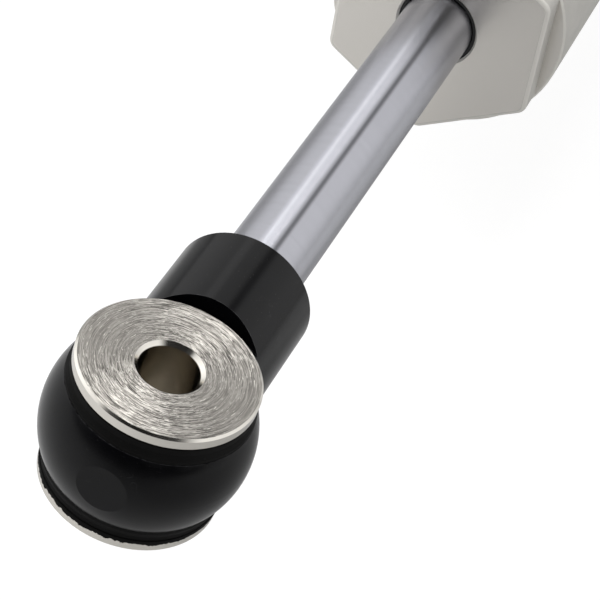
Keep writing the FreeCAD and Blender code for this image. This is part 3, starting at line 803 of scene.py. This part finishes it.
def radial_span(node, axis, centre=BODY_EYE):
    """Inner and outer radius of a ring-shaped CAD node about an axis, from its vertices."""
    radii = []
    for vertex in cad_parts[node].data.vertices:
        offset = vertex.co - centre
        offset[axis] = 0.0
        radii.append(offset.length)
    return min(radii), max(radii)


def bush_flange(name, shape, centre, side, inner, outer, near, far):
    """One moulded flange, widest at the eye's face and flush under the spacer."""
    foot = outer + shape.foot_reach
    height = far - near
    corners = [
        (inner + shape.tilt_room, side * near, 0.0),
        (foot, side * near, 0.25 * shape.rounding),
        (foot - 0.05 * MM, side * (near + 0.22 * height), shape.rounding),
        (outer + 0.15 * MM, side * (near + 0.6 * height), shape.rounding),
        (outer + 0.1 * MM, side * far, 0.15 * shape.rounding),
        (inner + 0.03 * MM, side * far, 0.0),
        (inner + 0.6 * shape.tilt_room, side * (near + 0.65 * height), 0.0),
    ]
    return spun_piece(name, rounded_profile(corners), centre, UP, shape.steps_round)


def bush_flash(name, shape, centre, side, rim, far):
    """Thin torn flash that laps over the lower spacer's rim."""
    inside = rim + 0.01 * MM
    outside = inside + shape.flash_thickness
    corners = [
        (inside, side * (far - 0.25 * MM), 0.0),
        (outside - 0.08 * MM, side * (far - 0.25 * MM), 0.0),
        (outside, side * (far + 0.05 * MM), 0.0),
        (outside - 0.04 * MM, side * (far + shape.flash_reach), 0.0),
        (inside, side * (far + shape.flash_reach), 0.0),
    ]
    return spun_piece(
        name, rounded_profile(corners), centre, UP, shape.flash_steps,
        shape.flash_rag, far + 0.5 * shape.flash_reach)


def build_bush(looks, end, centre, rubber_body, material):
    """The rubber bush of one eye: two flanges, the sleeve between them and torn flash."""
    shape = looks.rubber
    node = end + "_rubber"
    inner, outer = radial_span(node, UP, centre)
    rim = radial_span(end + "_spacer_lower", UP, centre)[1]
    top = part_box(node)[1].z
    near = EYE_HALF_WIDTH + 0.05 * MM
    for place, side in (("upper", 1), ("lower", -1)):
        flange = bush_flange(
            f"{end}_bush_{place}_flange", shape, centre, side, inner, outer, near, top)
        rubber_piece(flange, material, node)
        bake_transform(flange)
    flash = bush_flash(end + "_bush_flash", shape, centre, -1, rim, top)
    narrow = SLEEVE_CROWN_RADIUS - shape.tilt_room
    crowned = [
        (inner, -near, 0.0),
        (narrow, -near, 0.3 * MM),
        (SLEEVE_CROWN_RADIUS, 0.0, 3.0 * MM),
        (narrow, near, 0.3 * MM),
        (inner, near, 0.0),
    ]
    sleeve = spun_piece(
        end + "_bush_sleeve", rounded_profile(crowned), centre, UP, shape.steps_round)
    for piece in (flash, sleeve):
        rubber_piece(piece, material, node)
        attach(piece, rubber_body)


def build_wiper(looks, material):
    """The wiper, with its soft lip round the rod."""
    inner, outer = radial_span("rod_wiper", ALONG)
    low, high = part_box("rod_wiper")
    front, rear = low.y, high.y
    lip_outer = inner + 0.95 * MM
    groove = front + 1.1 * MM
    corners = [
        (inner + 0.1 * MM, front, 0.22 * MM),
        (lip_outer, front + 0.05 * MM, 0.25 * MM),
        (lip_outer, groove, 0.0),
        (outer, groove, 0.2 * MM),
        (outer, rear, 0.3 * MM),
        (inner + 1.4 * MM, rear, 0.3 * MM),
        (inner + 1.4 * MM, front + 2.6 * MM, 0.3 * MM),
        (inner, front + 1.7 * MM, 0.3 * MM),
    ]
    piece = spun_piece(
        "rod_wiper_lip", rounded_profile(corners), BODY_EYE, ALONG,
        looks.rubber.steps_round)
    rubber_piece(piece, material, "rod_wiper")
    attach(piece, "cylinder")


def ring_section(inner, outer, low, high):
    """Round section of an O-ring that fills the given square."""
    round_all = 0.5 * min(outer - inner, high - low)
    return rounded_profile([
        (inner, low, round_all),
        (outer, low, round_all),
        (outer, high, round_all),
        (inner, high, round_all),
    ])


def build_ring(node, suffix, axis, centre, span, body, steps_round, material):
    """One round rubber ring in place of a CAD node, between two places along an axis."""
    inner, outer = radial_span(node, axis, centre)
    piece = spun_piece(
        node + suffix, ring_section(inner, outer, *span), centre, axis, steps_round)
    rubber_piece(piece, material, node)
    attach(piece, body)


def build_rings(looks, material):
    """The O-rings of the guide, floating piston and end cap, and the gas plug's seal."""
    steps_round = looks.rubber.steps_round
    bodies = {"floating_piston_o_ring": "floating_piston", "end_cap_o_ring": "cylinder"}
    for node, body in bodies.items():
        low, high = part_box(node)
        build_ring(
            node, "_round", ALONG, BODY_EYE, (low.y, high.y), body, steps_round, material)
    node = "rod_guide_o_rings"
    low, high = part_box(node)
    inner, outer = radial_span(node, ALONG)
    width = outer - inner
    for suffix, start in (("_front", low.y), ("_rear", high.y - width)):
        build_ring(
            node, suffix, ALONG, BODY_EYE, (start, start + width), "cylinder",
            steps_round, material)
    node = "gas_fill_seal"
    low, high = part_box(node)
    centre = Vector((0.0, (low.y + high.y) / 2, (low.z + high.z) / 2))
    build_ring(
        node, "_round", ACROSS, centre, (low.x, high.x), "cylinder",
        SMALL_RING_STEPS, material)


def build_bumper(looks, material):
    """The rebound bumper, waisted and rounded like a moulded buffer."""
    node = "rebound_bumper"
    inner, outer = radial_span(node, ALONG)
    low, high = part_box(node)
    length = high.y - low.y
    soft = looks.rubber.rounding
    corners = [
        (inner, low.y, soft),
        (outer - 0.8 * MM, low.y, 2 * soft),
        (outer, low.y + 0.25 * length, 2 * soft),
        (outer - 0.5 * MM, low.y + 0.5 * length, 2 * soft),
        (outer, low.y + 0.75 * length, 2 * soft),
        (outer - 0.8 * MM, high.y, 2 * soft),
        (inner, high.y, soft),
    ]
    piece = spun_piece(
        node + "_moulded", rounded_profile(corners), BODY_EYE, ALONG,
        looks.rubber.steps_round)
    rubber_piece(piece, material, node)
    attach(piece, "rod")


def build_rod_seal(looks, material):
    """The rod's lip seal: a heel, and a lip that leans on the rod."""
    node = "rod_seal"
    inner, outer = radial_span(node, ALONG)
    low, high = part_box(node)
    soft = looks.rubber.rounding
    lip = 0.35 * (outer - inner)
    groove = low.y + 0.55 * (high.y - low.y)
    corners = [
        (inner + 0.3 * MM, low.y, 0.5 * soft),
        (outer, low.y, soft),
        (outer, high.y, soft),
        (outer - lip, high.y, soft),
        (outer - lip, groove, 0.6 * soft),
        (inner + lip, groove, 0.6 * soft),
        (inner + 0.6 * lip, high.y, soft),
        (inner, high.y - 0.5 * MM, 0.3 * soft),
    ]
    piece = spun_piece(
        node + "_lipped", rounded_profile(corners), BODY_EYE, ALONG,
        looks.rubber.steps_round)
    rubber_piece(piece, material, node)
    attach(piece, "cylinder")


# Operators, one for each piece or group of like pieces


class SHOCK_OT_black_parts(bpy.types.Operator):
    """Give the rod eye and the end cap their satin black finish"""

    bl_idname = "shock.black_parts"
    bl_label = "Eyes and end cap"

    def execute(self, context):
        looks = context.scene.shock_looks
        dress(black_anodised_finish(looks), "rod_eye", "end_cap")
        return {"FINISHED"}


class SHOCK_OT_body_tube(bpy.types.Operator):
    """Give the body tube and its hexagon their blasted finish"""

    bl_idname = "shock.body_tube"
    bl_label = "Body tube"

    def execute(self, context):
        looks = context.scene.shock_looks
        dress(clear_anodised_finish(looks), "body_tube")
        return {"FINISHED"}


class SHOCK_OT_piston_rod(bpy.types.Operator):
    """Give the piston rod its ground chrome"""

    bl_idname = "shock.piston_rod"
    bl_label = "Piston rod"

    def execute(self, context):
        looks = context.scene.shock_looks
        dress(chrome_finish(looks), "piston_rod")
        return {"FINISHED"}


class SHOCK_OT_spacers(bpy.types.Operator):
    """Give the four flanged spacers their turned and plated finish"""

    bl_idname = "shock.spacers"
    bl_label = "Flanged spacers"

    def execute(self, context):
        looks = context.scene.shock_looks
        for end, centre in (("rod_eye", ROD_EYE), ("body_eye", BODY_EYE)):
            material = nickel_finish(looks, "turned_nickel_" + end, centre)
            dress(material, end + "_spacer_upper", end + "_spacer_lower")
        return {"FINISHED"}


class SHOCK_OT_rubber_bushes(bpy.types.Operator):
    """Mould the rubber bushes of both eyes"""

    bl_idname = "shock.rubber_bushes"
    bl_label = "Rubber bushes"

    def execute(self, context):
        looks = context.scene.shock_looks
        material = rubber_finish(
            looks, "moulded_bush_rubber", looks.colours.bush_rubber,
            roughness=0.72, grain_depth=30 * MICRON)
        build_bush(looks, "rod_eye", ROD_EYE, "rod_bush_rubber", material)
        build_bush(looks, "body_eye", BODY_EYE, "body_bush_rubber", material)
        build_bumper(looks, material)
        return {"FINISHED"}


class SHOCK_OT_seals(bpy.types.Operator):
    """Mould the wiper and give the seals their smooth rubber"""

    bl_idname = "shock.seals"
    bl_label = "Wiper and seals"

    def execute(self, context):
        looks = context.scene.shock_looks
        material = rubber_finish(
            looks, "smooth_seal_rubber", looks.colours.seal_rubber,
            roughness=0.48, grain_depth=8 * MICRON)
        build_wiper(looks, material)
        build_rod_seal(looks, material)
        build_rings(looks, material)
        return {"FINISHED"}


class SHOCK_OT_inner_parts(bpy.types.Operator):
    """Finish the guide, the pistons, the valves and the small fittings"""

    bl_idname = "shock.inner_parts"
    bl_label = "Inner parts"

    def execute(self, context):
        looks = context.scene.shock_looks
        colours = looks.colours
        aluminium = machined_finish(
            looks, "machined_aluminium", colours.bare_aluminium, 0.3, spacing=0.3 * MM)
        dress(aluminium, "rod_guide", "piston", "floating_piston")
        bronze = machined_finish(
            looks, "lined_bronze", colours.bronze, 0.36, spacing=0.2 * MM)
        dress(bronze, "rod_guide_bush")
        plastic = machined_finish(
            looks, "filled_bearing_plastic", colours.filled_plastic, 0.5,
            spacing=0.5 * MM, metallic=0.0)
        dress(plastic, "piston_band", "floating_piston_band", "rod_seal_backing_ring")
        steel = machined_finish(
            looks, "ground_steel", colours.plain_steel, 0.28, spacing=0.15 * MM)
        dress(
            steel, "rod_seal_retainer", "rod_guide_retaining_ring", "rebound_stop_washer",
            "compression_backing_washer", "rebound_backing_washer", "compression_shims",
            "rebound_shims")
        plated = machined_finish(
            looks, "zinc_plated_steel", colours.plated_steel, 0.33, spacing=0.4 * MM)
        dress(plated, "piston_nut", "floating_piston_bleed_screw", "gas_fill_screw")
        return {"FINISHED"}


def in_reflection(graph, rays):
    """One for rays that a mirror-like or clear surface sends on, else nothing."""
    return graph.math("MAXIMUM", rays["Is Glossy Ray"], rays["Is Transmission Ray"])


def dark_front(graph, across, along, up):
    """How dark the front of the room is, with a paler bank on either side of its middle."""
    bearing = graph.math("ARCTAN2", across, graph.product(along, -1.0))
    from_left = graph.remap(bearing, -1.05, -0.62, smooth=True)
    from_right = graph.remap(bearing, 0.8, 1.4, 1.0, 0.0, smooth=True)
    below_top = graph.remap(up, 0.8, 0.97, 0.99, 0.0, smooth=True)
    beside = graph.remap(graph.absolute(bearing), 0.26, 0.44, smooth=True)
    above_foot = graph.remap(up, 0.08, 0.2, smooth=True)
    below_head = graph.remap(up, 0.52, 0.62, 1.0, 0.0, smooth=True)
    banks = graph.product(beside, above_foot, below_head, 0.85)
    return graph.product(from_left, from_right, below_top, graph.inverse(banks))


def overhead_gap(graph, across, up, turn):
    """How dark the narrow gap between the light banks overhead is, along the shock."""
    length = graph.vector("LENGTH", graph.combined(across, 0.0, up))
    spread = graph.math("MAXIMUM", length, 0.01)
    turned = graph.math(
        "SUBTRACT",
        graph.product(across, math.cos(turn)),
        graph.product(up, math.sin(turn)))
    offset = graph.absolute(graph.math("DIVIDE", turned, spread))
    strip = graph.remap(offset, 0.03, 0.2, 0.68, 0.0, smooth=True)
    return graph.product(strip, graph.remap(up, -0.05, 0.12))


def build_surroundings(studio):
    """White surroundings; metal also sees the dark front of the room and a gap overhead."""
    world = bpy.data.worlds.new("studio_surroundings")
    world.use_nodes = True
    world.node_tree.nodes.clear()
    world.cycles.sampling_method = "NONE"
    graph = NodeGraph(world.node_tree)
    direction = graph.add("ShaderNodeTexCoord").outputs["Generated"]
    across, along, up = graph.parts_of(direction)
    dark = graph.math(
        "MAXIMUM",
        dark_front(graph, across, along, up),
        overhead_gap(graph, across, up, studio.gap_turn))
    horizon = graph.remap(up, 0.0, 0.32, 0.68, 1.0)
    window = graph.remap(across, -0.72, -0.95, 0.0, 0.4)
    reflected = graph.math("ADD", graph.product(horizon, graph.inverse(dark)), window)
    rays = graph.add("ShaderNodeLightPath").outputs
    mirrored = in_reflection(graph, rays)
    seen = graph.math(
        "ADD",
        graph.product(mirrored, reflected),
        graph.product(graph.inverse(mirrored), studio.surroundings))
    background = graph.add("ShaderNodeBackground")
    graph.feed(background.inputs["Color"], (1.0, 1.0, 1.0, 1.0))
    graph.feed(
        background.inputs["Strength"], graph.math("MAXIMUM", seen, rays["Is Camera Ray"]))
    output = graph.add("ShaderNodeOutputWorld")
    graph.feed(output.inputs["Surface"], background.outputs[0])
    bpy.context.scene.world = world


def mirrored_floor_tone(graph):
    """Grey of the floor in a mirror, with a painted shadow and falloff of light: paler to
    the left, the shock's shadow painted to its right, dark towards the front.
    """
    place = graph.add("ShaderNodeNewGeometry").outputs["Position"]
    to_right, from_front, _ = graph.parts_of(place)
    # Painted falloff of the light towards the front.
    fading = graph.remap(from_front, -1.05, -0.55, 0.1, 0.95, smooth=True)
    # Painted shadow of the shock to its right, lifting again further right.
    shaded = graph.remap(to_right, -0.11, 0.11, 0.68, 0.42, smooth=True)
    recovering = graph.remap(to_right, 0.1, 0.4, 0.0, 0.35)
    # Painted shade behind and to the left.
    far_left_shade = graph.product(
        graph.remap(to_right, -0.067, -0.11, smooth=True),
        graph.remap(from_front, -0.38, -0.29, smooth=True))
    # Painted light on the floor behind and to the right.
    far_right = graph.product(
        graph.remap(to_right, 0.035, 0.075, smooth=True),
        graph.remap(from_front, -0.36, -0.28, 0.0, 0.2, smooth=True))
    tone = graph.math("ADD", graph.math("ADD", shaded, recovering), far_right)
    return graph.product(fading, graph.between(far_left_shade, 1.0, 0.54), tone)


def floor_finish():
    """White floor with a faint shadow; where metal mirrors it, it is greyer and carries a
    painted shadow and falloff of light.
    """
    material, graph = empty_material("white_floor")
    material.cycles.emission_sampling = "NONE"
    rays = graph.add("ShaderNodeLightPath").outputs
    to_camera = rays["Is Camera Ray"]
    mirrored = in_reflection(graph, rays)
    tone = mirrored_floor_tone(graph)
    # Mirrored rays take the painted shadow tone as the floor's colour.
    bounced = graph.mixed(mirrored, (0.8, 0.8, 0.8, 1.0), graph.combined(tone, tone, tone))
    paper = graph.add("ShaderNodeBsdfDiffuse")
    graph.feed(
        paper.inputs["Color"], graph.mixed(to_camera, bounced, (0.2, 0.2, 0.2, 1.0)))
    glow = graph.add("ShaderNodeEmission")
    graph.feed(
        glow.inputs["Strength"],
        graph.math("ADD", graph.product(to_camera, 0.87), graph.product(mirrored, 0.05)))
    lit = graph.add("ShaderNodeAddShader")
    graph.feed(lit.inputs[0], paper.outputs[0])
    graph.feed(lit.inputs[1], glow.outputs[0])
    output = graph.add("ShaderNodeOutputMaterial")
    graph.feed(output.inputs["Surface"], lit.outputs[0])
    return material


def build_floor(studio):
    """A broad floor, low enough to clear the shock when it tilts on an eye."""
    low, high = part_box("body_tube")
    centre = (low + high) / 2
    mesh = bmesh.new()
    bmesh.ops.create_circle(mesh, cap_ends=True, segments=64, radius=studio.floor_radius)
    data = bpy.data.meshes.new("floor")
    mesh.to_mesh(data)
    mesh.free()
    floor = bpy.data.objects.new("floor", data)
    floor.location = (centre.x, centre.y, CAD_BOX[0][UP] - studio.floor_drop)
    bpy.context.scene.collection.objects.link(floor)
    data.materials.append(floor_finish())


def add_lamp(name, place, aim, width, length, power, mirrored=True):
    """A soft lamp with its long side along the shock, which metal mirrors or not."""
    light = bpy.data.lights.new(name, "AREA")
    light.shape = "RECTANGLE"
    light.size = width
    light.size_y = length
    light.energy = power
    lamp = bpy.data.objects.new(name, light)
    back = (Vector(place) - Vector(aim)).normalized()
    side = Vector((0.0, 1.0, 0.0)).cross(back).normalized()
    lamp.matrix_world = Matrix((side, back.cross(side), back)).transposed().to_4x4()
    lamp.location = place
    lamp.visible_camera = False
    lamp.visible_glossy = mirrored
    bpy.context.scene.collection.objects.link(lamp)


def build_camera():
    """The photograph's own viewpoint."""
    data = bpy.data.cameras.new("camera")
    data.lens = CAMERA_LENS
    data.sensor_width = CAMERA_SENSOR
    data.sensor_fit = "HORIZONTAL"
    data.clip_start = 0.01
    data.clip_end = 100.0
    camera = bpy.data.objects.new("camera", data)
    turn = Matrix((CAMERA_RIGHT, -CAMERA_DOWN, -CAMERA_FORWARD)).transposed()
    camera.matrix_world = Matrix.Translation(CAMERA_PLACE) @ turn.to_4x4()
    bpy.context.scene.collection.objects.link(camera)
    bpy.context.scene.camera = camera


class SHOCK_OT_studio(bpy.types.Operator):
    """Set up the pale floor, the surroundings, the lamps and the camera"""

    bl_idname = "shock.studio"
    bl_label = "Studio"

    def execute(self, context):
        looks = context.scene.shock_looks
        studio = looks.studio
        bpy.context.scene.view_settings.view_transform = "Standard"
        build_surroundings(studio)
        build_floor(studio)
        add_lamp(
            "strip_lamp", place=(-0.56, 0.8, 1.0), aim=(0.0, 0.8, 0.0),
            width=0.26, length=1.8, power=studio.strip_light)
        add_lamp(
            "overhead_lamp", place=(-0.22, -0.22, 1.0), aim=(0.0, -0.4, 0.0),
            width=0.4, length=0.7, power=studio.overhead_light)
        add_lamp(
            "left_lamp", place=(-0.8, -0.9, 0.7), aim=(0.0, -0.35, 0.0),
            width=0.8, length=1.2, power=studio.left_light, mirrored=False)
        add_lamp(
            "right_lamp", place=(1.0, -0.1, 0.9), aim=(0.0, -0.3, 0.0),
            width=0.8, length=1.2, power=studio.right_light, mirrored=False)
        build_camera()
        return {"FINISHED"}


class SHOCK_PT_looks(bpy.types.Panel):
    """Lists the shock's settings and building steps"""

    bl_label = "Shock Absorber"
    bl_idname = "SHOCK_PT_looks"
    bl_space_type = "VIEW_3D"
    bl_region_type = "UI"
    bl_category = "Shock"

    def draw(self, context):
        looks = context.scene.shock_looks
        for title, group in (
            ("Colours", looks.colours),
            ("Surface detail", looks.detail),
            ("Rubber", looks.rubber),
            ("Studio", looks.studio),
        ):
            box = self.layout.box()
            box.label(text=title)
            for name in group.bl_rna.properties.keys():
                if name not in {"rna_type", "name"}:
                    box.prop(group, name)
        for step in STEPS:
            self.layout.operator(step.bl_idname)


SETTINGS = (FinishColours, SurfaceDetail, RubberShape, StudioLayout, ShockLooks)
STEPS = (
    SHOCK_OT_studio,
    SHOCK_OT_black_parts,
    SHOCK_OT_body_tube,
    SHOCK_OT_piston_rod,
    SHOCK_OT_spacers,
    SHOCK_OT_rubber_bushes,
    SHOCK_OT_seals,
    SHOCK_OT_inner_parts,
)


def register():
    for kind in SETTINGS + STEPS + (SHOCK_PT_looks,):
        bpy.utils.register_class(kind)
    bpy.types.Scene.shock_looks = PointerProperty(type=ShockLooks)


def unregister():
    del bpy.types.Scene.shock_looks
    for kind in reversed(SETTINGS + STEPS + (SHOCK_PT_looks,)):
        bpy.utils.unregister_class(kind)


def main():
    register()
    for step in STEPS:
        section, name = step.bl_idname.split(".")
        getattr(getattr(bpy.ops, section), name)()


if __name__ == "__main__":
    main()
